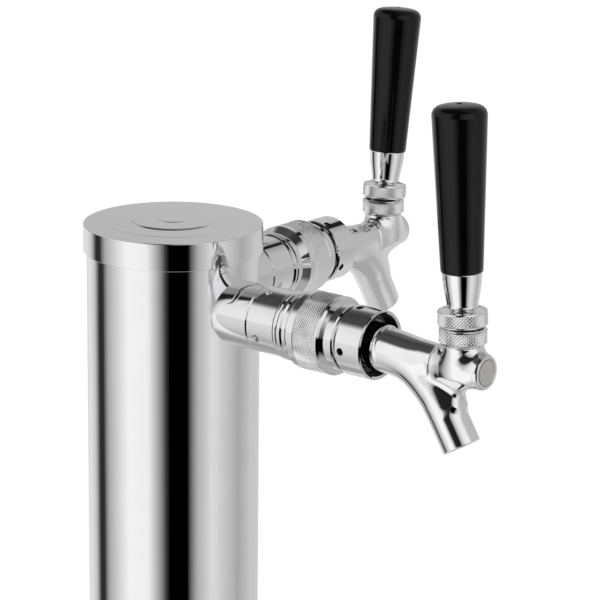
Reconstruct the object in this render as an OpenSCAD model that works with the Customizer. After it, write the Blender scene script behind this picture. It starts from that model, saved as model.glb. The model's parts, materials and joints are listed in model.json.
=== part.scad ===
// Beer tap tower: a polished column with a slip-over cap and two splayed faucets.
// Origin at the centre of the underside of the base gasket, +Z up, front (between the faucets) along -Y.
// The left faucet is the one on the -X side. All lengths are in millimetres.

/* [Column] */
// Outside diameter of the column tube (3 in tube)
column_od = 76.2; // [60:0.1:102]
// Wall thickness of the column tube
column_wall = 1.5; // [1:0.1:3]
// Height of the whole tower, underside of the gasket to the crown of the cap
tower_height = 330; // [260:1:420]
// How far the shank axes lie below the crown of the cap
shank_drop = 35.7; // [28:0.1:80]

/* [Cap] */
// Outside diameter of the cap
cap_od = 79; // [62:0.1:105]
// Length of the cap's skirt
cap_skirt = 12.2; // [8:0.1:30]
// Rise of the cap's top face from its rim to its centre
cap_crown = 1.8; // [0:0.1:5]

/* [Base] */
// Diameter of the base flange
base_od = 114.3; // [100:0.1:160]
// Thickness of the base flange
base_thick = 5; // [3:0.5:10]
// Thickness of the rubber gasket under the flange
gasket_thick = 2; // [1:0.5:4]
// Diameter of the circle the four mounting holes lie on
bolt_circle = 95.25; // [88:0.25:140]
// Diameter of the mounting holes
bolt_hole_d = 6; // [4:0.5:9]

/* [Faucet directions] */
// Angle of each shank from the front
splay = 46; // [35:0.5:90]
// Lean of the left lever when closed, away from the column
left_lean = -2.8; // [-6:0.1:8]
// Lean of the right lever when closed, away from the column
right_lean = 5.4; // [-6:0.1:8]
// Turn of the left coupling nut's spanner holes
left_nut_turn = 6; // [0:1:90]
// Turn of the right coupling nut's spanner holes
right_nut_turn = 22; // [0:1:90]
// Turn of the spanner holes in both lock rings
lock_turn = 20; // [0:1:90]

/* [Shank and coupling] */
// Outside diameter of the shank's thread
shank_od = 22; // [18:0.1:24]
// Bore of the shank
shank_bore = 7; // [4:0.1:10]
// Outside diameter of the saddle collar and the lock ring
collar_od = 28.9; // [26:0.1:34]
// Where the saddle collar meets the lock ring, from the column's axis
seam_at = 54; // [48:0.5:60]
// Where the lock ring meets the coupling body
lock_end = 69; // [62:0.5:72]
// Diameter of the knurled band of the coupling body
knurl_od = 34; // [30:0.1:38]
// Diameter of the coupling nut
nut_od = 29.8; // [28:0.1:34]
// Front end of the coupling nut, from the column's axis
nut_end = 116; // [112:0.5:120]

/* [Faucet] */
// Distance of the lever's axis from the column's axis
reach = 158.1; // [150:0.1:170]
// How far the valve barrel lies below the shank axis
barrel_drop = 1.2; // [0:0.1:3]
// Outside diameter of the spout
spout_od = 16.4; // [13:0.1:18]
// Bore of the spout
spout_bore = 12.4; // [9:0.1:14]
// Angle of the spout below the horizontal
spout_angle = 58.2; // [45:0.1:75]
// Bend radius of the spout's centre line
bend_r = 36; // [30:0.5:42]
// Length of the straight end of the spout
spout_len = 20.1; // [12:0.1:30]
// Height of the lever's ball above the shank axis
ball_height = 11.5; // [10:0.1:13]

/* [Handle] */
// Length of the black handle
handle_len = 68.9; // [50:0.1:120]
// Largest diameter of the handle, near its top
handle_top_d = 22.8; // [16:0.1:30]
// Diameter of the handle at its lower end
handle_low_d = 17.6; // [12:0.1:22]
// Length of the chrome ferrule below the handle
ferrule_len = 16.6; // [12:0.1:24]

/* [Hidden] */
$fn = 96;
col_r = column_od / 2;
col_in = col_r - column_wall;
shank_z = tower_height - shank_drop;
zb = -barrel_drop;
thread = 0.05;
base_top = gasket_thick + base_thick;
rim_z = tower_height - cap_crown;
bend_t = 117.8;
end_t = bend_t + bend_r * sin(spout_angle);
end_z = zb - bend_r + bend_r * cos(spout_angle);
arm = ball_height + barrel_drop;
seat_t = 115.8;
foot_h = 11.05;

// ---------- helpers ----------

// Puts a faucet's parts in place: s is -1 for the left side and 1 for the right side.
module side(s) {
  translate([0, 0, shank_z]) rotate([0, 0, -90 + s * splay]) children();
}

// A round bar along the shank from a to b.
module bar(a, b, r, z = 0) {
  translate([a, 0, z]) rotate([0, 90, 0]) cylinder(r = r, h = b - a);
}

// A cone along the shank, radius ra at a and rb at b.
module taper(a, b, ra, rb, z = 0) {
  translate([a, 0, z]) rotate([0, 90, 0]) cylinder(r1 = ra, r2 = rb, h = b - a);
}

// A hexagonal bar along the shank, given its size across the flats.
module hexbar(a, b, flats) {
  translate([a, 0, 0]) rotate([0, 90, 0]) rotate([0, 0, 30]) cylinder(r = flats / sqrt(3), h = b - a, $fn = 6);
}

// Turns a profile of [radius, distance] points about the shank axis.
module turned(pts) {
  rotate([0, 90, 0]) rotate_extrude() polygon(pts);
}

// Blind holes for a pin spanner round a ring, at distance t along the shank.
module spanner_holes(t, r, turn) {
  for (k = [0 : 3]) {
    rotate([turn + 90 * k, 0, 0]) translate([t, 0, r - 2]) cylinder(r = 1.7, h = 4, $fn = 32);
  }
}

// The lever's own frame: origin at the ball's centre, +Z along the lever.
module lever_frame(s) {
  side(s) translate([reach, 0, ball_height]) rotate([0, lean(s), 0]) children();
}

function lean(s) = s < 0 ? left_lean : right_lean;
function nut_turn(s) = s < 0 ? left_nut_turn : right_nut_turn;
// Where the tip of the lever's lower arm lies along the barrel when closed.
function tip_t(s) = reach - arm * sin(lean(s));

// ---------- column, cap and base ----------

module column_tube() {
  color("silver") difference() {
    translate([0, 0, gasket_thick + 1]) cylinder(r = col_r, h = rim_z - 2.2 - gasket_thick - 1);
    translate([0, 0, -1]) cylinder(r = col_in, h = tower_height);
    side(-1) bar(20, 50, shank_od / 2 + 0.3);
    side(1) bar(20, 50, shank_od / 2 + 0.3);
  }
}

module base_flange() {
  color("silver") difference() {
    rotate_extrude() polygon([
      [0, gasket_thick], [base_od / 2 - 0.6, gasket_thick], [base_od / 2, gasket_thick + 0.6],
      [base_od / 2, base_top - 1.6], [base_od / 2 - 1.6, base_top],
      [col_r + 2.6, base_top], [col_r + 1.4, base_top + 5], [col_r + 0.9, base_top + 5.5], [0, base_top + 5.5]
    ]);
    translate([0, 0, gasket_thick + 1]) cylinder(r = col_r + thread, h = 30);
    cylinder(r = col_in - 1.5, h = 30);
    for (k = [0 : 3]) {
      rotate([0, 0, 45 + 90 * k]) translate([bolt_circle / 2, 0, 0]) cylinder(r = bolt_hole_d / 2, h = 30);
    }
  }
}

module base_gasket() {
  color("dimgray") difference() {
    cylinder(r = base_od / 2 - 0.8, h = gasket_thick);
    translate([0, 0, -1]) cylinder(r = col_in - 1.5, h = 10);
    for (k = [0 : 3]) {
      rotate([0, 0, 45 + 90 * k]) translate([bolt_circle / 2, 0, -1]) cylinder(r = bolt_hole_d / 2, h = 10);
    }
  }
}

// Slip-over cap: straight skirt, sharp rim, and a low crown spun with three shallow rings.
module top_cap() {
  r = cap_od / 2;
  c = cap_crown;
  color("lightgray") rotate_extrude() polygon([
    [0, rim_z - 2.2], [col_r + 0.25, rim_z - 2.2], [col_r + 0.25, rim_z - cap_skirt + 0.4],
    [col_r + 0.5, rim_z - cap_skirt], [r - 0.25, rim_z - cap_skirt], [r, rim_z - cap_skirt + 0.25],
    [r, rim_z - 0.3], [r - 0.3, rim_z],
    [29.5, rim_z + 0.23 * c], [28.2, rim_z + 0.36 * c], [18.6, rim_z + 0.52 * c], [17.4, rim_z + 0.75 * c],
    [7.1, rim_z + 0.84 * c], [6, rim_z + 0.98 * c], [0, tower_height]
  ]);
}

// ---------- shank, from the inside of the column outwards ----------

// Plain collar cut to sit on the column.
module saddle_collar(s) {
  r = collar_od / 2;
  color("silver") difference() {
    side(s) turned([[0, 30], [r, 30], [r, seam_at - 0.5], [r - 0.5, seam_at], [0, seam_at]]);
    side(s) bar(20, 60, shank_od / 2 + 0.3);
    translate([0, 0, shank_z - 40]) cylinder(r = col_r, h = 80);
  }
}

// Pin-spanner ring that pulls the shank tight against the column.
module lock_ring(s) {
  r = collar_od / 2;
  color("silver") side(s) difference() {
    turned([
      [0, seam_at], [r - 0.5, seam_at], [r, seam_at + 0.5], [r, lock_end - 0.4], [r - 0.5, lock_end], [0, lock_end]
    ]);
    bar(50, 80, shank_od / 2 + thread);
    spanner_holes(seam_at + 5, r, lock_turn);
  }
}

// Hollow threaded shank through the wall.
module shank(s) {
  r = shank_od / 2;
  color("lightgray") side(s) difference() {
    turned([[0, 22], [r - 1, 22], [r, 23], [r, 96], [r - 1, 97], [0, 97]]);
    bar(20, 100, shank_bore / 2);
  }
}

// Washer inside the column, curved on one side to fit the wall.
module saddle_washer(s) {
  color("silver") difference() {
    intersection() {
      side(s) bar(30.5, 40, 15);
      translate([0, 0, shank_z - 40]) cylinder(r = col_in, h = 80);
    }
    side(s) bar(20, 60, shank_od / 2 + 0.3);
  }
}

module jam_nut(s) {
  color("silver") side(s) difference() {
    hexbar(25, 30.5, 27);
    bar(20, 60, shank_od / 2 + thread);
  }
}

module tail_gasket(s) {
  color("dimgray") side(s) difference() {
    bar(21.2, 22, 8);
    bar(20, 23, shank_bore / 2);
  }
}

module tail_nut(s) {
  color("silver") side(s) difference() {
    hexbar(15.5, 24.5, 24.5);
    bar(14, 30, 5.3);
    bar(19.5, 30, shank_od / 2 + thread);
  }
}

// Elbow inside the column: flange, bend, and a hose barb that points down.
module tail_elbow(s) {
  color("silver") side(s) difference() {
    union() {
      bar(19.5, 21.2, 8.2);
      bar(9, 20, 5);
      translate([9, 0, 0]) sphere(r = 5.7);
      translate([9, 0, 0]) rotate_extrude() polygon([
        [0, 0], [4.9, 0], [4.9, -13], [4.1, -14], [4.1, -16], [4.8, -18.5], [4.1, -19], [4.1, -21],
        [4.8, -23.5], [4.1, -24], [4.1, -26], [4.8, -28.5], [3.8, -31.5], [0, -31.5]
      ]);
    }
    bar(9, 30, 3);
    translate([9, 0, -40]) cylinder(r = 3, h = 40);
    translate([9, 0, 0]) sphere(r = 3.2);
  }
}

// ---------- coupling ----------

// Knurled body screwed onto the shank: twin bevelled lips, gripping band and front thread.
module coupling_body(s) {
  b = lock_end;
  k = knurl_od / 2;
  color("silver") side(s) difference() {
    turned([
      [0, b], [14.4, b], [15.1, b + 0.7], [15.1, b + 1.7], [14.5, b + 2.2], [15.1, b + 2.7],
      [15.1, b + 4.1], [14.4, b + 4.8], [14.4, b + 6.4], [k, b + 9.4],
      [k, b + 12.4], [k - 0.3, b + 12.6], [k - 0.3, b + 24.4], [k, b + 24.6], [k, b + 25.4],
      [k - 0.9, b + 26.3], [14.5, b + 26.3], [14.5, b + 31.3], [14, b + 31.8], [12.5, b + 31.8],
      [12.5, 107.4], [12, 107.9], [0, 107.9]
    ]);
    bar(60, 97.1, shank_od / 2 + thread);
    bar(90, 110, 7.2);
  }
}

// Nut that holds the faucet, with spanner holes and a deep front recess.
module coupling_nut(s) {
  r = nut_od / 2;
  color("silver") side(s) difference() {
    turned([[0, 102.6], [r - 0.5, 102.6], [r, 103.1], [r, nut_end - 0.5], [r - 0.4, nut_end], [0, nut_end]]);
    bar(100, 110.4, 12.6);
    bar(110, 120, 10.3);
    bar(112, 120, 13.4);
    taper(nut_end - 0.8, nut_end + 0.2, 13.3, 14.3);
    spanner_holes(105.8, r, nut_turn(s));
  }
}

module faucet_gasket(s) {
  color("dimgray") side(s) difference() {
    bar(107.9, 108.9, 11.6);
    bar(105, 110, 7.2);
  }
}

// ---------- faucet ----------

// Body with flange, neck, valve barrel, bent spout and lever neck, bored right through.
module faucet_body(s) {
  color("silver") side(s) difference() {
    union() {
      bar(108.9, 110.35, 12.2);
      taper(110.3, 119, 9.9, 9);
      taper(114, 150, 9.3, 7.1, zb);
      bar(147, 169.6, 7.6, zb);
      taper(169.6, 170.8, 7.6, 6.8, zb);
      spout_bend(8.8);
      translate([end_t, 0, end_z]) rotate([0, 90 + spout_angle, 0]) spout_end();
      lever_neck();
      spout_web();
    }
    bar(100, seat_t, 6.8, zb);
    bar(110, 120, 4.2, zb);
    bar(119, 180, 4.7, zb);
    bar(168.6, 180, 5.6, zb);
    spout_bend(spout_bore / 2 - 0.2);
    translate([end_t, 0, end_z]) rotate([0, 90 + spout_angle, 0]) cylinder(r = spout_bore / 2, h = 40);
    translate([reach, 0, zb]) cylinder(r = 6.1, h = 12);
    // relief towards the column, where the lever's arm swings when the faucet opens
    translate([reach - 1.3, 0, zb]) cylinder(r = 6.1, h = 6.9);
    translate([reach, 0, 7.2]) cylinder(r = 7.3, h = 12);
  }
}

// Bent part of the spout, as a round section of radius r.
module spout_bend(r) {
  translate([bend_t, 0, zb - bend_r]) rotate([90, 0, 0]) rotate([0, 0, 90 - spout_angle])
    rotate_extrude(angle = spout_angle) translate([bend_r, 0]) circle(r = r);
}

// Straight end of the spout: a short taper, then a plain tube cut square.
module spout_end() {
  rotate_extrude() polygon([[0, 0], [8.78, 0], [spout_od / 2, 6], [spout_od / 2, spout_len], [0, spout_len]]);
}

// Upright neck that carries the lever, with a reduced thread for the bonnet.
module lever_neck() {
  translate([reach, 0, -4]) cylinder(r = 8.8, h = 12.6);
  translate([reach, 0, 8.6]) cylinder(r1 = 8.8, r2 = 8.3, h = 0.6);
  translate([reach, 0, 9]) cylinder(r = 8.3, h = 4.2);
}

// Thin web that fills the corner between the spout and the front boss.
module spout_web() {
  translate([0, 4, 0]) rotate([90, 0, 0]) linear_extrude(height = 8) polygon([
    [150, -5], [164.5, -5], [163, -9.8], [161, -11.8], [159.8, -14.5], [158.6, -18], [150, -14]
  ]);
}

// Disc that closes the front of the barrel, set a little back inside a thin groove.
module front_cap(s) {
  color("gray") side(s) difference() {
    union() {
      bar(168.6, 170.6, 5.35, zb);
      bar(168.6, 169.9, 5.55, zb);
    }
    bar(168, 169.4, 2.6, zb);
  }
}

// Sliding valve shaft with a slotted guide for the lever's tip.
module valve_shaft(s) {
  t = tip_t(s);
  color("silver") side(s) difference() {
    union() {
      bar(109.4, t - 5, 1.8, zb);
      bar(115.7, 117, 3.4, zb);
      bar(t - 7, t + 6.6, 4.63, zb);
    }
    translate([t, 2.55, zb]) rotate([90, 0, 0]) linear_extrude(height = 5.1) polygon([
      [-2.6, -3], [2.6, -3], [2.6, 1], [5.4, 5], [-3.6, 5], [-2.6, 1]
    ]);
  }
}

// Soft washer that closes the barrel.
module seat_washer(s) {
  color("black") side(s) turned_at([
    [1.8 + thread, 112.6], [4.9, 112.6], [5.2, 112.9], [5.2, 115.2], [4.7, 115.7], [1.8 + thread, 115.7]
  ]);
}

// As turned(), about the barrel's axis.
module turned_at(pts) {
  translate([0, 0, zb]) turned(pts);
}

module shaft_nut(s) {
  color("silver") side(s) difference() {
    translate([0, 0, zb]) hexbar(110, 112.6, 6.2);
    bar(100, 120, 1.8 + thread, zb);
  }
}

// Lever: ball, lower arm with a round tip, neck and threaded stem.
module lever(s) {
  color("silver") lever_frame(s) union() {
    sphere(r = 7);
    translate([0, 0, -arm]) cylinder(r = 1.9, h = arm);
    translate([0, 0, -arm]) sphere(r = 2.3);
    cylinder(r = 3.2, h = 10.2);
    translate([0, 0, 10]) cylinder(r = 4.6, h = 21);
    translate([0, 0, 31]) cylinder(r1 = 4.6, r2 = 3.8, h = 0.8);
  }
}

// Washer under the ball.
module ball_seal(s) {
  color("black") side(s) translate([reach, 0, 0]) rotate_extrude() polygon([
    [6, 7.2], [7.25, 7.2], [7.25, 8.9], [6.65, 8.9], [6.15, 7.9]
  ]);
}

// Ring over the ball that sets how stiff the lever is.
module friction_ring(s) {
  color("white") side(s) translate([reach, 0, 0]) rotate_extrude() polygon([
    [6.9, 13.2], [8.2, 13.2], [8.2, 14.9], [6.35, 14.9]
  ]);
}

// Knurled bonnet screwed down over the neck.
module bonnet(s) {
  color("silver") side(s) translate([reach, 0, 0]) rotate_extrude() polygon([
    [8.35, 9.4], [9.3, 9.4], [10, 10.1], [10, 15.3], [9.1, 16.2], [7.3, 16.2], [6.45, 14.9], [8.35, 14.9]
  ]);
}

// Knurled collar screwed onto the lever, hollow underneath so it swings clear of the bonnet.
module lever_collar(s) {
  color("silver") lever_frame(s) difference() {
    rotate_extrude() polygon([
      [4.6 + thread, 4], [9.8, 4], [9.8, 5.4], [10.4, 6], [10.4, 11], [9.7, 11.8], [9.3, 11.8], [6.7, 11],
      [4.6 + thread, 11]
    ]);
    sphere(r = 11.1);
    translate([0, 0, -6]) cylinder(r = 30, h = 11.3);
  }
}

// ---------- handle ----------

// Tapered ferrule with a small foot, seated on the lever collar.
module handle_ferrule(s) {
  h = foot_h;
  r = handle_low_d / 2;
  color("silver") lever_frame(s) rotate_extrude() polygon([
    [4.6 + thread, h], [6.3, h], [6.6, h + 0.4], [6.6, h + 1.2], [6.3, h + 2.2], [6.4, h + 3.4],
    [7.05, h + 5.7], [7.65, h + 9.7], [8.05, h + 12.9], [r - 0.5, h + ferrule_len],
    [5.65, h + ferrule_len], [5.65, h + 5.3], [4.6 + thread, h + 5.3]
  ]);
}

// Threaded insert that joins the ferrule and the handle to the lever.
module handle_insert(s) {
  h = foot_h + 5.3;
  color("gold") lever_frame(s) rotate_extrude() polygon([
    [4.6 + 0.08, h], [5.6, h], [5.6, 41], [4.6 + 0.08, 41]
  ]);
}

module handle(s) {
  h = foot_h + ferrule_len;
  a = handle_low_d / 2;
  b = handle_top_d / 2;
  t = h + handle_len;
  color("black") lever_frame(s) rotate_extrude() polygon([
    [5.65, h], [a - 0.5, h], [a, h + 0.6], [b, t - 5], [b - 0.02, t - 4.2], [b - 0.3, t - 3.1],
    [b - 0.95, t - 2.05], [b - 2, t - 1.2], [b - 3.4, t - 0.65], [b - 5.6, t - 0.25], [b - 8, t - 0.06],
    [1.6, t], [1, t - 0.5], [0, t - 0.6], [0, 44], [4.2, 41.2], [5.65, 41.2]
  ]);
}

// ---------- nodes ----------

column_tube();
base_flange();
base_gasket();
top_cap();
saddle_collar(-1);  // left_saddle_collar
lock_ring(-1);  // left_lock_ring
shank(-1);  // left_shank
saddle_washer(-1);  // left_saddle_washer
jam_nut(-1);  // left_jam_nut
tail_elbow(-1);  // left_tail_elbow
tail_nut(-1);  // left_tail_nut
tail_gasket(-1);  // left_tail_gasket
coupling_body(-1);  // left_coupling_body
coupling_nut(-1);  // left_coupling_nut
faucet_gasket(-1);  // left_faucet_gasket
faucet_body(-1);  // left_faucet_body
front_cap(-1);  // left_front_cap
valve_shaft(-1);  // left_valve_shaft
seat_washer(-1);  // left_seat_washer
shaft_nut(-1);  // left_shaft_nut
lever(-1);  // left_lever
ball_seal(-1);  // left_ball_seal
friction_ring(-1);  // left_friction_ring
bonnet(-1);  // left_bonnet
lever_collar(-1);  // left_lever_collar
handle_ferrule(-1);  // left_handle_ferrule
handle_insert(-1);  // left_handle_insert
handle(-1);  // left_handle
saddle_collar(1);  // right_saddle_collar
lock_ring(1);  // right_lock_ring
shank(1);  // right_shank
saddle_washer(1);  // right_saddle_washer
jam_nut(1);  // right_jam_nut
tail_elbow(1);  // right_tail_elbow
tail_nut(1);  // right_tail_nut
tail_gasket(1);  // right_tail_gasket
coupling_body(1);  // right_coupling_body
coupling_nut(1);  // right_coupling_nut
faucet_gasket(1);  // right_faucet_gasket
faucet_body(1);  // right_faucet_body
front_cap(1);  // right_front_cap
valve_shaft(1);  // right_valve_shaft
seat_washer(1);  // right_seat_washer
shaft_nut(1);  // right_shaft_nut
lever(1);  // right_lever
ball_seal(1);  // right_ball_seal
friction_ring(1);  // right_friction_ring
bonnet(1);  // right_bonnet
lever_collar(1);  // right_lever_collar
handle_ferrule(1);  // right_handle_ferrule
handle_insert(1);  // right_handle_insert
handle(1);  // right_handle
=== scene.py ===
"""Beer tap tower: the looks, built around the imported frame. Lengths in the local profiles are millimetres."""

import json
import math

import bpy
import numpy as np
from mathutils import Matrix, Vector


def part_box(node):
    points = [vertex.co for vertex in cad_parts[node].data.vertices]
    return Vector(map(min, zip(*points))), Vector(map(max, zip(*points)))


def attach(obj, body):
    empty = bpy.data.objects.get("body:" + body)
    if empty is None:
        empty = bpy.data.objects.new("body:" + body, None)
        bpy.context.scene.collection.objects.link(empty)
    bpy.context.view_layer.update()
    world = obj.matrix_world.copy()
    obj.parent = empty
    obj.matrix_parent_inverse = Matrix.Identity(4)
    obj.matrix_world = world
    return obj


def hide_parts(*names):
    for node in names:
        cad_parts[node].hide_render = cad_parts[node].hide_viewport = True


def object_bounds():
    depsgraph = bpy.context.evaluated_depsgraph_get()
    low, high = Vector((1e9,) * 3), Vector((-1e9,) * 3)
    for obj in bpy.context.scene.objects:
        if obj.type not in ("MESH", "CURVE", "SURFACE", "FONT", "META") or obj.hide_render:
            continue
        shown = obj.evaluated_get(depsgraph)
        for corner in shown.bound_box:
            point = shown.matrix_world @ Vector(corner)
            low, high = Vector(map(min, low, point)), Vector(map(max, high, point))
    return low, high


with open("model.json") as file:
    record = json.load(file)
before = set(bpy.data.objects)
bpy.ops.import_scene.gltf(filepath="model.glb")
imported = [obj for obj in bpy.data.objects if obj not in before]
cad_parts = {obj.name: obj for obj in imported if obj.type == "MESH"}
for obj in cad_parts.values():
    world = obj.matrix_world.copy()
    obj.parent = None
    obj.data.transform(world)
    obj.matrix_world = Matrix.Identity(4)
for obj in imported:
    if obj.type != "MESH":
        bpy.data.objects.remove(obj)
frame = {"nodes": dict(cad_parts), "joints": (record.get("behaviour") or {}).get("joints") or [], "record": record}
cad_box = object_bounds()

MM = 0.001
SIDES = ("left", "right")
JOINTS = {j["name"]: j for j in frame["joints"]}


# ---------- camera ----------

# Where the camera stands, in metres, and the directions of its own axes.
EYE = (-1.2437, 0.0919, 0.6351)
EYE_RIGHT = (-0.11557, -0.99325, 0.01010)
EYE_UP = (0.26381, -0.02089, 0.96435)
EYE_BACK = (-0.95762, 0.11412, 0.26444)
LENS_MM, SENSOR_MM = 175.47, 36


def make_camera():
    cam = bpy.data.objects.new("camera", bpy.data.cameras.new("camera"))
    bpy.context.scene.collection.objects.link(cam)
    cam.data.sensor_width = SENSOR_MM
    cam.data.lens = LENS_MM
    cam.data.clip_start, cam.data.clip_end = 0.05, 50
    rot = Matrix((EYE_RIGHT, EYE_UP, EYE_BACK)).transposed()
    cam.matrix_world = Matrix.Translation(EYE) @ rot.to_4x4()
    bpy.context.scene.camera = cam


make_camera()


# ---------- local frames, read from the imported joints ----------

def axes_matrix(x, y, z, origin):
    m = Matrix((x, y, z)).transposed().to_4x4()
    return Matrix.Translation(origin) @ m @ Matrix.Scale(MM, 4)


def shank_matrix(side):
    """Local X runs outward along the shank from the column's axis, and local Z is up."""
    nut = JOINTS[side + "_nut_turn"]
    x = Vector(nut["axis"]).normalized()
    z = Vector((0, 0, 1))
    return axes_matrix(x, z.cross(x), z, Vector((0, 0, nut["pos_m"][2])))


def lever_matrix(side):
    """Origin at the ball's centre, local Z along the lever."""
    turn, tilt = JOINTS[side + "_handle_turn"], JOINTS[side + "_lever_tilt"]
    z, y = Vector(turn["axis"]).normalized(), Vector(tilt["axis"]).normalized()
    return axes_matrix(y.cross(z), y, z, Vector(turn["pos_m"]))


def reach_mm(side):
    p = JOINTS[side + "_lever_tilt"]["pos_m"]
    return math.hypot(p[0], p[1]) / MM


# ---------- materials ----------

# Most of a noise texture's values lie between these two.
NOISE_LOW, NOISE_HIGH = 0.3, 0.7
# Features per metre of the mottled colour and of the uneven gloss.
MOTTLE_SCALE, GLOSS_SCALE, LATHE_GLOSS_SCALE = 90, 260, 150


def principled(name, color, metallic, rough):
    m = bpy.data.materials.new(name)
    m.use_nodes = True
    b = m.node_tree.nodes["Principled BSDF"]
    b.inputs["Base Color"].default_value = (*color, 1)
    b.inputs["Metallic"].default_value = metallic
    b.inputs["Roughness"].default_value = rough
    return m, m.node_tree, b


def link(tree, a, b):
    tree.links.new(a, b)


def noise(tree, scale, detail=3.0, stretch=None):
    """Noise over the object's own coordinates; scale is in features per metre."""
    coord = tree.nodes.new("ShaderNodeTexCoord").outputs["Object"]
    if stretch:
        mapping = tree.nodes.new("ShaderNodeMapping")
        mapping.inputs["Scale"].default_value = stretch
        link(tree, coord, mapping.inputs["Vector"])
        coord = mapping.outputs["Vector"]
    n = tree.nodes.new("ShaderNodeTexNoise")
    n.inputs["Scale"].default_value = scale
    n.inputs["Detail"].default_value = detail
    link(tree, coord, n.inputs["Vector"])
    return n.outputs["Fac"]


def map_range(tree, value, from_low, from_high, to_low=0, to_high=1):
    r = tree.nodes.new("ShaderNodeMapRange")
    r.inputs["From Min"].default_value, r.inputs["From Max"].default_value = from_low, from_high
    r.inputs["To Min"].default_value, r.inputs["To Max"].default_value = to_low, to_high
    link(tree, value, r.inputs["Value"])
    return r


def spread(tree, value, low, high):
    """A noise value carried over to the range from low to high."""
    return map_range(tree, value, NOISE_LOW, NOISE_HIGH, low, high).outputs["Result"]


def add_bump(tree, bsdf, height, distance):
    bump = tree.nodes.new("ShaderNodeBump")
    bump.inputs["Strength"].default_value = 1
    bump.inputs["Distance"].default_value = distance
    link(tree, height, bump.inputs["Height"])
    link(tree, bump.outputs["Normal"], bsdf.inputs["Normal"])


def tint(tree, bsdf, value, dark, light):
    ramp = tree.nodes.new("ShaderNodeValToRGB")
    for stop, position, color in zip(ramp.color_ramp.elements, (NOISE_LOW, NOISE_HIGH), (dark, light)):
        stop.position = position
        stop.color = (*color, 1)
    link(tree, value, ramp.inputs["Fac"])
    link(tree, ramp.outputs["Color"], bsdf.inputs["Base Color"])


def surface(name, dark, light, metallic, rough, wave, wave_height, stretch=None):
    """A procedural finish: mottled colour, uneven gloss and a fine relief."""
    m, tree, b = principled(name, light, metallic, rough[1])
    tint(tree, b, noise(tree, MOTTLE_SCALE), dark, light)
    link(tree, spread(tree, noise(tree, GLOSS_SCALE, 5, stretch), *rough), b.inputs["Roughness"])
    add_bump(tree, b, noise(tree, wave, 2, stretch), wave_height)
    return m


def turned_finish(name, dark, light, rough, pitch, height, centre):
    """Satin metal with the fine concentric lines of a lathe tool round a centre, in metres."""
    m, tree, b = principled(name, light, 1.0, rough[1])
    coord = tree.nodes.new("ShaderNodeTexCoord").outputs["Object"]
    far = tree.nodes.new("ShaderNodeVectorMath")
    far.operation = "DISTANCE"
    far.inputs[1].default_value = centre
    link(tree, coord, far.inputs[0])
    turns = tree.nodes.new("ShaderNodeMath")
    turns.operation = "MULTIPLY"
    turns.inputs[1].default_value = 1 / pitch
    link(tree, far.outputs["Value"], turns.inputs[0])
    lines = tree.nodes.new("ShaderNodeTexNoise")
    lines.noise_dimensions = "1D"
    lines.inputs["Scale"].default_value = 1.0
    lines.inputs["Detail"].default_value = 3
    link(tree, turns.outputs["Value"], lines.inputs["W"])
    tint(tree, b, lines.outputs["Fac"], dark, light)
    link(tree, spread(tree, noise(tree, LATHE_GLOSS_SCALE, 4), *rough), b.inputs["Roughness"])
    add_bump(tree, b, lines.outputs["Fac"], height)
    return m


# The polishing lines of the tube and the cap's skirt run along the column.
ALONG_COLUMN = (1, 1, 0.04)
CHROME = ((0.86, 0.86, 0.865), (0.91, 0.91, 0.915), 1.0, (0.02, 0.05), 160, 0.0000025)
# Painted shade: the dark grey that stands in for the shade inside recesses.
RECESS_SHADE_GREY = (0.055, 0.055, 0.055)

# Each slot's darker and lighter colour, metallic, roughness range, features per metre of its relief, and the
# relief's height in metres.
FINISHES = {
    "polished_steel": ((0.84, 0.84, 0.85), (0.86, 0.86, 0.87), 1.0, (0.05, 0.065), 400, 0.0000004,
                       ALONG_COLUMN),
    "chrome": CHROME,
    "satin_steel": ((0.52, 0.51, 0.50), (0.64, 0.63, 0.62), 1.0, (0.30, 0.42), 2500, 0.000004),
    "plain_steel": ((0.55, 0.55, 0.55), (0.70, 0.70, 0.70), 1.0, (0.2, 0.34), 1800, 0.000004),
    "gasket_rubber": ((0.02, 0.02, 0.02), (0.045, 0.045, 0.045), 0.0, (0.65, 0.85), 1500, 0.00003),
    "white_plastic": ((0.78, 0.78, 0.76), (0.85, 0.85, 0.83), 0.0, (0.35, 0.5), 900, 0.00001),
    "insert_brass": ((0.62, 0.45, 0.18), (0.74, 0.57, 0.27), 1.0, (0.2, 0.32), 1400, 0.000005),
    "handle_black": ((0.0010, 0.0010, 0.0011), (0.0022, 0.0022, 0.0024), 0.0, (0.07, 0.13), 700, 0.000002),
}
HANDLE_SPECULAR = 0.27

MATS = {slot: surface(slot, *finish) for slot, finish in FINISHES.items()}
handle_shader = MATS["handle_black"].node_tree.nodes["Principled BSDF"]
handle_shader.inputs["Specular IOR Level"].default_value = HANDLE_SPECULAR
SPUN_TOP = turned_finish("spun_top", (0.74, 0.74, 0.745), (0.84, 0.84, 0.845), (0.12, 0.18), 0.0006, 0.000004,
                         (0, 0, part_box("top_cap")[1].z))
# Painted shade: near-black metal for the collar's dish round the ferrule foot, in place of the shade that falls in
# that recess.
PAINTED_RECESS_SHADE = surface("painted_recess_shade", (0.03, 0.03, 0.03), RECESS_SHADE_GREY, 1.0, (0.16, 0.26), 400, 0.000004)


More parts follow.
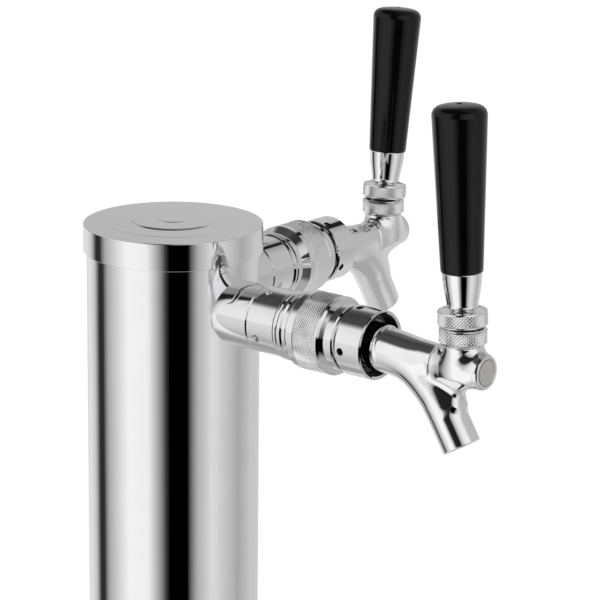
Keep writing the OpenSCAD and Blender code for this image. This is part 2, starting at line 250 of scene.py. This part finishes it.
def nut_finish_with_painted_shade(side):
    """Chrome with shade painted dark grey inside the nut's front recess, by distance from the nut's axis."""
    painted_shade_radius, chrome_radius = 0.01344, 0.01352
    m = surface(side + "_nut_chrome_and_painted_shade", *CHROME)
    tree = m.node_tree
    b = tree.nodes["Principled BSDF"]
    nut = JOINTS[side + "_nut_turn"]
    value = tree.nodes.new("ShaderNodeTexCoord").outputs["Object"]
    steps = (("SUBTRACT", (0, 0, nut["pos_m"][2])), ("CROSS_PRODUCT", nut["axis"]), ("LENGTH", None))
    for operation, vector in steps:
        n = tree.nodes.new("ShaderNodeVectorMath")
        n.operation = operation
        if vector:
            n.inputs[1].default_value = vector
        link(tree, value, n.inputs[0])
        value = n.outputs["Value" if operation == "LENGTH" else "Vector"]
    # Painted shade: the mask is 0 inside the recess radius, where the dark grey is painted, and 1 on the chrome
    # beyond.
    outer = map_range(tree, value, painted_shade_radius, chrome_radius)
    mix = tree.nodes.new("ShaderNodeMix")
    mix.data_type = "RGBA"
    mix.inputs[6].default_value = (*RECESS_SHADE_GREY, 1)
    link(tree, b.inputs["Base Color"].links[0].from_socket, mix.inputs[7])
    link(tree, outer.outputs["Result"], mix.inputs["Factor"])
    link(tree, mix.outputs[2], b.inputs["Base Color"])
    return m


# ---------- turned pieces ----------

def rounded(points, radius=0.18, steps=3):
    """A closed profile with each corner rounded, and a support point on either side of each arc.

    A point is (radius, height) or (radius, height, its own rounding). An arc takes at most 40% of a side.
    """
    out, n = [], len(points)
    for i in range(n):
        p = np.array(points[i][:2], float)
        a, b = np.array(points[i - 1][:2], float), np.array(points[(i + 1) % n][:2], float)
        cut = points[i][2] if len(points[i]) > 2 else radius
        u, v = a - p, b - p
        lu, lv = np.linalg.norm(u), np.linalg.norm(v)
        cut = min(cut, 0.4 * lu, 0.4 * lv)
        if cut < 1e-3:
            out.append(tuple(p))
            continue
        u, v = u / lu, v / lv
        out.append(tuple(p + u * cut * 1.15))
        for k in range(steps + 1):
            t = k / steps
            out.append(tuple((1 - t) ** 2 * (p + u * cut) + 2 * t * (1 - t) * p + t * t * (p + v * cut)))
        out.append(tuple(p + v * cut * 1.15))
    return out


def diamond(a, b):
    """Depth of a diamond knurl from 0 at a peak to 1 in a groove; a and b count diamonds round and along."""
    def groove(x):
        return 1 - 2 * np.abs(x - np.floor(x) - 0.5)
    u, v = groove(a + b), groove(a - b)
    return 1 - np.minimum(1 - u, 1 - v)


def outermost(rows, height):
    """The index of the outermost row at a height."""
    level = [k for k in range(len(rows)) if abs(rows[k][1] - height) < 1e-6]
    return max(level, key=lambda k: rows[k][0])


def turned(name, rows, matrix, seg=128, closed=True, knurl=None, top_material_above=None,
           top_material_within=math.inf):
    """Turns (radius, height) rows about local Z.

    knurl is (diamonds round, depth, low, high, slant). The faces above top_material_above that are flatter than
    they are steep, and no further out than top_material_within, take the piece's second material.
    """
    rows = [(float(r), float(h)) for r, h in rows]
    if knurl:
        count, depth, low, high, slant = knurl
        seg = count * 4
        i, j = outermost(rows, low), outermost(rows, high)
        radius = rows[i][0]
        pitch = 2 * math.pi * radius / count * slant
        n = max(2, round((high - low) / (pitch / 4)))
        mid = [(radius, low + (high - low) * k / n) for k in range(n + 1)]
        rows = rows[:i] + mid + rows[j + 1:]
    verts, index = [], []
    for r, h in rows:
        if r < 1e-6:
            index.append([len(verts)] * seg)
            verts.append((0, 0, h))
            continue
        index.append(list(range(len(verts), len(verts) + seg)))
        for k in range(seg):
            rr = r
            if knurl and abs(r - radius) < 1e-6 and low < h < high:
                rr = r - depth * float(diamond(k / 4, (h - low) / pitch))
            w = 2 * math.pi * k / seg
            verts.append((rr * math.cos(w), rr * math.sin(w), h))
    faces, flat, upper = [], [], []
    last = len(rows) if closed else len(rows) - 1
    for j in range(last):
        a, b = index[j], index[(j + 1) % len(rows)]
        (r0, h0), (r1, h1) = rows[j], rows[(j + 1) % len(rows)]
        cut = bool(knurl) and abs(r0 - radius) < 1e-6 and abs(r1 - radius) < 1e-6
        top = (top_material_above is not None and min(h0, h1) >= top_material_above
               and abs(r0 - r1) > abs(h1 - h0) and max(r0, r1) <= top_material_within)
        for k in range(seg):
            m = (k + 1) % seg
            quad = [a[k], a[m], b[m], b[k]]
            ring = list(dict.fromkeys(quad))
            if len(ring) < 3:
                continue
            if cut:
                c = [verts[q] for q in quad]
                r = [math.hypot(p[0], p[1]) for p in c]
                split = ((0, 1, 2), (0, 2, 3)) if r[0] + r[2] < r[1] + r[3] else ((0, 1, 3), (1, 2, 3))
                for tri in split:
                    faces.append([quad[x] for x in tri])
                    flat.append(True)
                    upper.append(False)
                continue
            faces.append(ring)
            flat.append(False)
            upper.append(top)
    mesh = bpy.data.meshes.new(name)
    mesh.from_pydata([matrix @ Vector(v) for v in verts], [], faces)
    mesh.validate()
    mesh.polygons.foreach_set("use_smooth", [not f for f in flat])
    if top_material_above is not None:
        mesh.polygons.foreach_set("material_index", [int(x) for x in upper])
    outward(mesh)
    obj = bpy.data.objects.new(name, mesh)
    bpy.context.scene.collection.objects.link(obj)
    return obj


def outward(mesh):
    """Turns the faces outward if they are inside out, judged by the enclosed volume."""
    mesh.calc_loop_triangles()
    co = np.array([v.co for v in mesh.vertices])
    tri = np.array([t.vertices for t in mesh.loop_triangles])
    a, b, c = co[tri[:, 0]], co[tri[:, 1]], co[tri[:, 2]]
    if np.einsum("ij,ij->i", a, np.cross(b, c)).sum() < 0:
        mesh.flip_normals()
    mesh.update()


def finish_piece(obj, body, slot, *nodes, extra=()):
    obj.data.materials.clear()
    obj.data.materials.append(MATS[slot])
    for m in extra:
        obj.data.materials.append(m)
    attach(obj, body)
    if nodes:
        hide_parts(*nodes)


def along_x(matrix):
    """Turns a local Z profile so that its height runs along local X."""
    return matrix @ Matrix.Rotation(math.radians(90), 4, "Y")


# ---------- the cap ----------

CAP_CROWN, CAP_DOME = 1.8, 0.8
# Where each concentric step of the cap's top starts and ends, and how far it falls.
CAP_STEPS = ((5.8, 7.2, 0.27), (17, 19, 0.55), (28.1, 29.6, 0.18))


def make_cap():
    lo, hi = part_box("top_cap")
    r, top, bottom = hi.x / MM, hi.z / MM, lo.z / MM
    rim = top - CAP_CROWN
    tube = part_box("column_tube")[1]
    inner, under = tube.x / MM + 0.25, tube.z / MM

    def crown_at(x):
        z = rim + CAP_DOME * (1 - (x / (r - 0.3)) ** 2)
        for inside, outside, drop in CAP_STEPS:
            t = min(max((x - inside) / (outside - inside), 0), 1)
            z += drop * (1 - t * t * (3 - 2 * t))
        return min(z, top)

    side = [(0, under), (inner, under), (inner, bottom + 0.4), (inner + 0.25, bottom), (r - 0.2, bottom),
            (r - 0.06, bottom + 0.06), (r, bottom + 0.2), (r, bottom + 0.3), (r, rim - 0.32), (r, rim - 0.26),
            (r - 0.06, rim - 0.08), (r - 0.16, rim - 0.01)]
    face = [(x, crown_at(x)) for x in np.linspace(r - 0.3, 0.25, 230)] + [(0, crown_at(0))]
    obj = turned("cap_spun", side + face, Matrix.Scale(MM, 4), seg=256, closed=False,
                 top_material_above=rim - 0.02)
    finish_piece(obj, "cap", "polished_steel", "top_cap", extra=(SPUN_TOP,))


# ---------- faucet bodies, from blended distance fields ----------

# Distances along X are from the column's axis, and heights are from the shank's axis.
BARREL_Z = -1.2
FLANGE_BACK, FLANGE_FRONT, FLANGE_R = 108.9, 110.5, 12.2
THROAT_END, THROAT_R = 119, (9.9, 9)
BARREL_START, BARREL_END, BARREL_R = 114, 150, (9.3, 7.1)
BOSS_START, BOSS_FRONT, BOSS_R = 147, 170.8, 7.6
BOSS_CONE_START, BOSS_CONE_R = 140, (26.5, 6.8)
NECK_R, NECK_TOP, SOCKET_R, SOCKET_TOP = 8.8, 9.0, 8.3, 13.2
BEND_START, BEND_R, SPOUT_ANGLE = 117.8, 36.0, math.radians(58.2)
SPOUT_ROOT_R, SPOUT_R, SPOUT_BORE, SPOUT_LEN = 8.8, 8.2, 6.2, 20.1
TAPER_START, TAPER_LEN = 24, 22
WEB_BACK, WEB_FRONT, WEB_FLARE, WEB_HALF = 150, 157.0, 4.4, 3.6
WEB_TOP, WEB_BOTTOM, WEB_FLARE_FROM, WEB_FLARE_RISE = -5, -16.5, -17, 11
VALVE_BORE, CAP_BORE, INLET_BORE, PASSAGE_BORE, STEM_BORE, BALL_BORE = 4.7, 5.6, 6.8, 4.2, 6.1, 7.3
RELIEF_BACK = 1.3
CELL = 0.42


def blend_min(a, b, k):
    h = np.maximum(k - np.abs(a - b), 0) / k
    return np.minimum(a, b) - h * h * k / 4


def blend_max(a, b, k):
    return -blend_min(-a, -b, k)


def rod(p, a, b, ra, rb=None, edge=0.3):
    """Distance to a round bar or cone from a to b, with its end edges rounded a little."""
    rb = ra if rb is None else rb
    a, b = np.array(a, float), np.array(b, float)
    length = np.linalg.norm(b - a)
    d = (b - a) / length
    h = (p - a) @ d
    rad = np.linalg.norm(p - a - h[:, None] * d, axis=1)
    slope = (rb - ra) / length
    side = (rad - (ra + slope * h)) / math.hypot(1, slope)
    return blend_max(side, np.abs(h - length / 2) - length / 2, edge)


def spout_field(p, thick, thin, length):
    """Distance to the spout: one round section swept along an arc and on along a straight line."""
    s, c = math.sin(SPOUT_ANGLE), math.cos(SPOUT_ANGLE)
    cx, cz = BEND_START, BARREL_Z - BEND_R
    x, z = p[:, 0] - cx, p[:, 2] - cz
    w = np.arctan2(x, z)
    along = x * c - z * s
    straight = (w > SPOUT_ANGLE) | (along > 0)
    w = np.clip(w, 0, SPOUT_ANGLE)
    h = np.where(straight, np.clip(along, 0, None), 0)
    w = np.where(straight, SPOUT_ANGLE, w)
    near = np.stack([cx + BEND_R * np.sin(w) + h * c, 0 * w, cz + BEND_R * np.cos(w) - h * s], 1)
    run = np.clip((w * BEND_R + h - TAPER_START) / TAPER_LEN, 0, 1)
    radius = thick + (thin - thick) * run * run * (3 - 2 * run)
    return blend_max(np.linalg.norm(p - near, axis=1) - radius, along - length, 0.5)


def web_field(p):
    """Distance to the web between the boss and the spout, which flares forward towards its top."""
    x, y, z = p.T
    front = WEB_FRONT + WEB_FLARE * np.clip((z - WEB_FLARE_FROM) / WEB_FLARE_RISE, 0, 1) ** 2
    outline = np.maximum.reduce([(x - front) * 0.75, WEB_BACK - x, z - WEB_TOP, WEB_BOTTOM - z])
    return blend_max(np.abs(y) - WEB_HALF, outline, 3.2)


def level_rod(p, start, end, z, *radii):
    """Distance to a rod or cone that lies along the shank."""
    return rod(p, (start, 0, z), (end, 0, z), *radii)


def upright_rod(p, x, bottom, top, radius, edge=0.3):
    """Distance to a rod that stands at x."""
    return rod(p, (x, 0, bottom), (x, 0, top), radius, edge=edge)


def faucet_field(p, reach):
    """Distance to the casting: its solids blended one by one, less its bores. The lever stands at reach."""
    z = BARREL_Z
    throat = level_rod(p, 110.3, THROAT_END, 0, *THROAT_R)
    d = blend_min(throat, level_rod(p, BARREL_START, BARREL_END, z, *BARREL_R), 1.0)
    boss = blend_max(level_rod(p, BOSS_START, BOSS_FRONT, z, BOSS_R),
                     level_rod(p, BOSS_CONE_START, BOSS_FRONT, z, *BOSS_CONE_R), 0.4)
    d = blend_min(d, boss, 1.5)
    d = blend_min(d, spout_field(p, SPOUT_ROOT_R, SPOUT_R, SPOUT_LEN), 3.2)
    d = blend_min(d, upright_rod(p, reach, -4, NECK_TOP, NECK_R, edge=0.7), 4.2)
    d = blend_min(d, web_field(p), 6.5)
    d = np.minimum(d, upright_rod(p, reach, 8, SOCKET_TOP, SOCKET_R))
    d = np.minimum(d, level_rod(p, FLANGE_BACK, FLANGE_FRONT, 0, FLANGE_R))
    holes = np.minimum.reduce([
        level_rod(p, 100, 115.8, z, INLET_BORE),
        level_rod(p, 110, 120, z, PASSAGE_BORE),
        level_rod(p, 119, 180, z, VALVE_BORE),
        level_rod(p, 168.6, 180, z, CAP_BORE),
        spout_field(p, SPOUT_BORE - 0.2, SPOUT_BORE, 40),
        upright_rod(p, reach - RELIEF_BACK, z, z + 6.9, STEM_BORE),
        upright_rod(p, reach, z, 10.8, STEM_BORE),
        upright_rod(p, reach, 7.2, 20, BALL_BORE),
    ])
    return blend_max(d, -holes, 0.5)


def surface_nets(field, low, high, cell):
    """A closed quad mesh of the field's zero level, its points moved onto the level, with smooth normals."""
    shape = [int(math.ceil((high[i] - low[i]) / cell)) + 1 for i in range(3)]
    axes = [low[i] + cell * np.arange(shape[i]) for i in range(3)]
    grid = np.stack(np.meshgrid(*axes, indexing="ij"), -1).reshape(-1, 3)
    f = np.concatenate([field(part) for part in np.array_split(grid, 12)]).reshape(shape)
    inside = f < 0
    total = np.zeros([n - 1 for n in shape] + [3])
    count = np.zeros([n - 1 for n in shape])
    for axis in range(3):
        others = [i for i in range(3) if i != axis]
        for u in (0, 1):
            for v in (0, 1):
                start = [0, 0, 0]
                start[others[0]], start[others[1]] = u, v
                ahead = [start[i] + (i == axis) for i in range(3)]
                lo = tuple(slice(start[i], start[i] + shape[i] - 1) for i in range(3))
                hi = tuple(slice(ahead[i], ahead[i] + shape[i] - 1) for i in range(3))
                a, b = f[lo], f[hi]
                cross = inside[lo] != inside[hi]
                t = np.where(cross, a / np.where(cross, a - b, 1), 0)
                count += cross
                total[..., axis] += t
                total[..., others[0]] += cross * u
                total[..., others[1]] += cross * v
    used = count > 0
    ids = -np.ones(count.shape, int)
    ids[used] = np.arange(used.sum())
    p = np.array(low) + cell * (np.argwhere(used) + total[used] / count[used][:, None])
    faces = []
    for axis in range(3):
        n = [shape[i] - 1 if i == axis else shape[i] - 2 for i in range(3)]
        o = [0 if i == axis else 1 for i in range(3)]
        base = tuple(slice(o[i], o[i] + n[i]) for i in range(3))
        step = tuple(slice(o[i] + (i == axis), o[i] + (i == axis) + n[i]) for i in range(3))
        a, b = inside[base], inside[step]
        where = np.argwhere(a != b) + np.array(o)
        sign = a[a != b]
        j, k = [(axis + 1) % 3, (axis + 2) % 3]
        corner = []
        for dj, dk in ((-1, -1), (0, -1), (0, 0), (-1, 0)):
            q = where.copy()
            q[:, j] += dj
            q[:, k] += dk
            corner.append(ids[q[:, 0], q[:, 1], q[:, 2]])
        quad = np.stack(corner, 1)
        quad[~sign] = quad[~sign][:, ::-1]
        faces.append(quad)
    faces = np.concatenate(faces)

    def gradient(q, e=0.02):
        g = np.stack([field(q + e * np.eye(3)[i]) - field(q - e * np.eye(3)[i]) for i in range(3)], 1)
        return g / np.maximum(np.linalg.norm(g, axis=1, keepdims=True), 1e-9)

    for _ in range(3):
        step = np.clip(field(p), -cell / 2, cell / 2)
        p = p - step[:, None] * gradient(p)
    return p, faces, gradient(p, 0.06)


def make_faucets():
    """One surface, placed on both sides, since both levers stand equally far out."""
    reach = reach_mm("left")
    low, high = (108, -13, -41), (172, 13, 14.2)
    p, faces, normals = surface_nets(lambda q: faucet_field(q, reach), low, high, CELL)
    for side in SIDES:
        m = shank_matrix(side)
        mat = np.array(m)
        mesh = bpy.data.meshes.new(side + "_faucet_cast")
        mesh.from_pydata((p @ mat[:3, :3].T + mat[:3, 3]).tolist(), [], faces.tolist())
        mesh.polygons.foreach_set("use_smooth", [True] * len(mesh.polygons))
        turn = mat[:3, :3] / MM
        mesh.normals_split_custom_set_from_vertices((normals @ turn.T).tolist())
        obj = bpy.data.objects.new(side + "_faucet_cast", mesh)
        bpy.context.scene.collection.objects.link(obj)
        finish_piece(obj, "tower", "chrome", side + "_faucet_body")


# ---------- knurled rings ----------

BAND_LOW, BAND_HIGH, BAND_R = 81.5, 93.5, 17.0
BONNET_LOW, BONNET_HIGH, BONNET_R = 10.1, 15.3, 10
COLLAR_LOW, COLLAR_HIGH, COLLAR_R = 6.0, 11.0, 10.4
BALL_HOLLOW_R = 11.12
DISH_FLOOR, DISH_RIM_R = 10.95, 9.95


def make_knurls(side):
    shank = shank_matrix(side)
    inner = BAND_R - 0.5
    band = [(inner, BAND_LOW), (BAND_R, BAND_LOW), (BAND_R, BAND_HIGH), (inner, BAND_HIGH)]
    obj = turned(side + "_grip_knurl", band, along_x(shank), knurl=(96, 0.3, BAND_LOW, BAND_HIGH, 1.25))
    finish_piece(obj, "tower", "chrome")

    at_neck = shank @ Matrix.Translation((reach_mm(side), 0, 0))
    low, high, r = BONNET_LOW, BONNET_HIGH, BONNET_R
    rows = rounded([(8.35, low - 0.7), (r - 0.7, low - 0.7), (r - 0.03, low - 0.05), (r, low, 0),
                    (r, high, 0), (r - 0.03, high + 0.05), (r - 0.9, high + 0.9), (7.3, high + 0.9),
                    (6.45, high - 0.4), (8.35, high - 0.4)])
    obj = turned(side + "_bonnet_knurl", rows, at_neck, knurl=(44, 0.4, low, high, 1.0))
    finish_piece(obj, "tower", "chrome", side + "_bonnet")

    low, high, r = COLLAR_LOW, COLLAR_HIGH, COLLAR_R
    arc = np.linspace(0.433, 1.072, 14)
    hollow = [(BALL_HOLLOW_R * math.sin(w), BALL_HOLLOW_R * math.cos(w)) for w in arc]
    rows = rounded([(r - 0.6, low - 0.68), (r - 0.6, low - 0.55), (r - 0.03, low - 0.03), (r, low, 0),
                    (r, high, 0), (r - 0.03, high + 0.03), (r - 0.25, high + 0.6), (r - 0.55, high + 0.66),
                    (9.3, high + 0.2), (4.65, high + 0.02)], 0.1) + hollow
    obj = turned(side + "_collar_knurl", rows, lever_matrix(side), knurl=(46, 0.4, low, high, 1.0),
                 top_material_above=DISH_FLOOR, top_material_within=DISH_RIM_R)
    # The collar's dish faces take the painted shade, a near-black metal.
    finish_piece(obj, side + "_lever_body", "chrome", side + "_lever_collar", extra=(PAINTED_RECESS_SHADE,))


# ---------- handles ----------

def curve(points, n=8):
    """A smooth curve through the points (Catmull-Rom)."""
    pts = [points[0], *points, points[-1]]
    out = []
    for i in range(1, len(pts) - 2):
        a, b, c, d = (np.array(q, float) for q in pts[i - 1:i + 3])
        for t in np.linspace(0, 1, n, endpoint=False):
            out.append(tuple(0.5 * (2 * b + (c - a) * t + (2 * a - 5 * b + 4 * c - d) * t * t
                                    + (3 * b - a - 3 * c + d) * t ** 3)))
    return out + [tuple(points[-1])]


HANDLE_LOW, HANDLE_TOP = 27.65, 96.55
HANDLE_LOW_R, HANDLE_TOP_R = 8.8, 11.4
FERRULE_LOW, FERRULE_BORE_R, INSERT_R = 11.05, 4.65, 5.65


def make_handle(side):
    m = lever_matrix(side)
    low, top, a, b = HANDLE_LOW, HANDLE_TOP, HANDLE_LOW_R, HANDLE_TOP_R
    crown = [(b - 0.2, top - 9), (b - 0.115, top - 7), (b - 0.05, top - 5.5), (b - 0.05, top - 4.4),
             (b - 0.33, top - 3.1), (b - 0.97, top - 2.05), (b - 2.02, top - 1.2), (b - 3.4, top - 0.66),
             (b - 5.6, top - 0.26), (b - 8, top - 0.07), (1.7, top - 0.02), (1.25, top - 0.12),
             (0.9, top - 0.42), (0.3, top - 0.55)]
    bore = [(0, 44), (4.2, 41.2), (INSERT_R, 41.2), (INSERT_R, low)]
    edge = [(a - 0.5, low), (a - 0.2, low + 0.12), (a - 0.03, low + 0.6), (a + 0.02, low + 1.6)]
    rows = bore + edge + curve(crown) + [(0, top - 0.58)]
    obj = turned(side + "_handle_grip", rows, m, seg=160, closed=False)
    finish_piece(obj, side + "_handle_body", "handle_black", side + "_handle")

    h = FERRULE_LOW
    foot = [(FERRULE_BORE_R, h), (5.3, h), (5.3, h + 1.55), (6.2, h + 1.65)]
    flare = curve([(6.45, h + 1.75), (6.68, h + 2.1), (6.6, h + 2.8), (6.62, h + 3.6), (6.98, h + 5.7),
                   (7.63, h + 9.7), (8.03, h + 12.9), (8.27, h + 16.4)])
    inside = [(8.1, h + 16.58), (INSERT_R, h + 16.58), (INSERT_R, h + 5.3), (FERRULE_BORE_R, h + 5.3)]
    obj = turned(side + "_ferrule_spun", foot + flare + inside, m, seg=160)
    finish_piece(obj, side + "_handle_body", "chrome", side + "_handle_ferrule")


make_cap()
make_faucets()
for each in SIDES:
    make_knurls(each)
    make_handle(each)


# ---------- finishes of the CAD nodes that stay ----------

def paint_nodes():
    for part in frame["record"]["subparts"]:
        node, slot = part["node"], part["material_slot"]
        obj = frame["nodes"][node]
        material = MATS[slot]
        # The coupling nuts take chrome with painted shade inside their front recess.
        if node.endswith("_coupling_nut"):
            material = nut_finish_with_painted_shade(node.split("_")[0])
        if node.endswith("_front_cap"):
            lo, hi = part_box(node)
            material = turned_finish(node + "_faced", (0.64, 0.63, 0.62), (0.78, 0.77, 0.76), (0.28, 0.38),
                                     0.0003, 0.000004, (lo + hi) / 2)
        obj.data.materials.clear()
        obj.data.materials.append(material)


paint_nodes()


# ---------- floor, light and surroundings ----------

# What polished metal sees at four heights, as (degrees, brightness). 0 degrees is towards the camera and 90
# degrees to its right. Low values are black flags, and high values are softboxes.
GROUND = [(-180, 0.60), (-110, 0.68), (-40, 0.60), (10, 0.44), (180, 0.42)]
BELOW = [(-180, 0.65), (-145, 0.85), (-128, 0.65), (-115, 0.03), (-105, 0.03), (-95, 0.45), (-60, 1.05),
         (-32, 1.0), (-8, 0.05), (-3, 0.0), (22, 0.0), (35, 0.5), (55, 0.82), (100, 0.45), (130, 0.65),
         (180, 0.65)]
ABOVE = [(-180, 0.55), (-150, 0.42), (-110, 0.62), (-70, 0.97), (-48, 0.85), (-38, 0.55), (-31, 0.02),
         (-4, 0.01), (4, 0.45), (26, 0.92), (54, 0.95), (74, 0.55), (150, 0.50), (180, 0.55)]
OVERHEAD = [(-180, 0.14), (-150, 0.05), (-60, 0.08), (-20, 0.03), (45, 0.04), (75, 0.30), (120, 0.36),
            (160, 0.24), (180, 0.14)]
BRIGHTEST = 2
# Horizontal directions towards the camera and to its right, and how far the overhead part leans back.
TO_CAMERA, ACROSS, LEAN = (-0.9930, 0.1183, 0), (-0.1183, -0.9930, 0), 0.12
# The strength of the plain white that lights everything else.
FILL = 1.08


def make_floor():
    half, z = 12, cad_box[0].z
    corners = [(-half, -half, z), (half, -half, z), (half, half, z), (-half, half, z)]
    mesh = bpy.data.meshes.new("floor")
    mesh.from_pydata(corners, [], [(0, 1, 2, 3)])
    floor = bpy.data.objects.new("floor", mesh)
    bpy.context.scene.collection.objects.link(floor)
    m, tree, b = principled("floor_paint", (0.95, 0.95, 0.95), 0.0, 0.9)
    b.inputs["Specular IOR Level"].default_value = 0
    tint(tree, b, noise(tree, 3), (0.945, 0.945, 0.945), (0.955, 0.955, 0.955))
    mesh.materials.append(m)
    floor.visible_glossy = False


def ramp_node(tree, value, stops):
    """A grey ramp over the angle value, in radians; the stops are (degrees, brightness up to 2)."""
    span = map_range(tree, value, -math.pi, math.pi)
    ramp = tree.nodes.new("ShaderNodeValToRGB")
    ramp.color_ramp.interpolation = "LINEAR"
    e = ramp.color_ramp.elements
    while len(e) > 1:
        e.remove(e[-1])
    for i, (deg, bright) in enumerate(stops):
        stop = e[0] if i == 0 else e.new((deg + 180) / 360)
        stop.position = (deg + 180) / 360
        grey = bright / BRIGHTEST
        stop.color = (grey, grey, grey, 1)
    link(tree, span.outputs["Result"], ramp.inputs["Fac"])
    return ramp.outputs["Color"]


def make_world():
    """Plain white light, with flags and softboxes that are seen only in reflections."""
    world = bpy.data.worlds.new("studio")
    bpy.context.scene.world = world
    world.use_nodes = True
    tree = world.node_tree
    tree.nodes.clear()
    coord = tree.nodes.new("ShaderNodeTexCoord").outputs["Generated"]

    def dot(v):
        n = tree.nodes.new("ShaderNodeVectorMath")
        n.operation = "DOT_PRODUCT"
        n.inputs[1].default_value = v
        link(tree, coord, n.inputs[0])
        return n.outputs["Value"]

    def math_node(op, a, b):
        n = tree.nodes.new("ShaderNodeMath")
        n.operation = op
        link(tree, a, n.inputs[0])
        link(tree, b, n.inputs[1])
        return n.outputs["Value"]

    def smooth(value, low, high):
        n = map_range(tree, value, low, high)
        n.interpolation_type = "SMOOTHSTEP"
        return n.outputs["Result"]

    def layer(fac, below, above):
        n = tree.nodes.new("ShaderNodeMix")
        n.data_type = "RGBA"
        link(tree, fac, n.inputs["Factor"])
        link(tree, below, n.inputs[6])
        link(tree, above, n.inputs[7])
        return n.outputs[2]

    height = dot((0, 0, 1))
    around = math_node("ARCTAN2", dot(ACROSS), dot(TO_CAMERA))
    tilted = math_node("ADD", height, dot((-LEAN * TO_CAMERA[0], -LEAN * TO_CAMERA[1], 0)))
    ramps = [ramp_node(tree, around, stops) for stops in (GROUND, BELOW, ABOVE, OVERHEAD)]
    ground, below, above, overhead = ramps
    sides = layer(smooth(height, -0.10, 0.04), below, above)
    sides = layer(smooth(height, -0.82, -0.60), ground, sides)
    surroundings = layer(smooth(tilted, 0.60, 0.78), sides, overhead)

    seen = tree.nodes.new("ShaderNodeBackground")
    seen.inputs["Strength"].default_value = BRIGHTEST
    link(tree, surroundings, seen.inputs["Color"])
    plain = tree.nodes.new("ShaderNodeBackground")
    plain.inputs["Color"].default_value = (1, 1, 1, 1)
    plain.inputs["Strength"].default_value = FILL
    ray = tree.nodes.new("ShaderNodeLightPath")
    pick = tree.nodes.new("ShaderNodeMixShader")
    link(tree, ray.outputs["Is Glossy Ray"], pick.inputs["Fac"])
    link(tree, plain.outputs["Background"], pick.inputs[1])
    link(tree, seen.outputs["Background"], pick.inputs[2])
    out = tree.nodes.new("ShaderNodeOutputWorld")
    link(tree, pick.outputs["Shader"], out.inputs["Surface"])


make_floor()
make_world()
bpy.context.scene.view_settings.view_transform = "Standard"
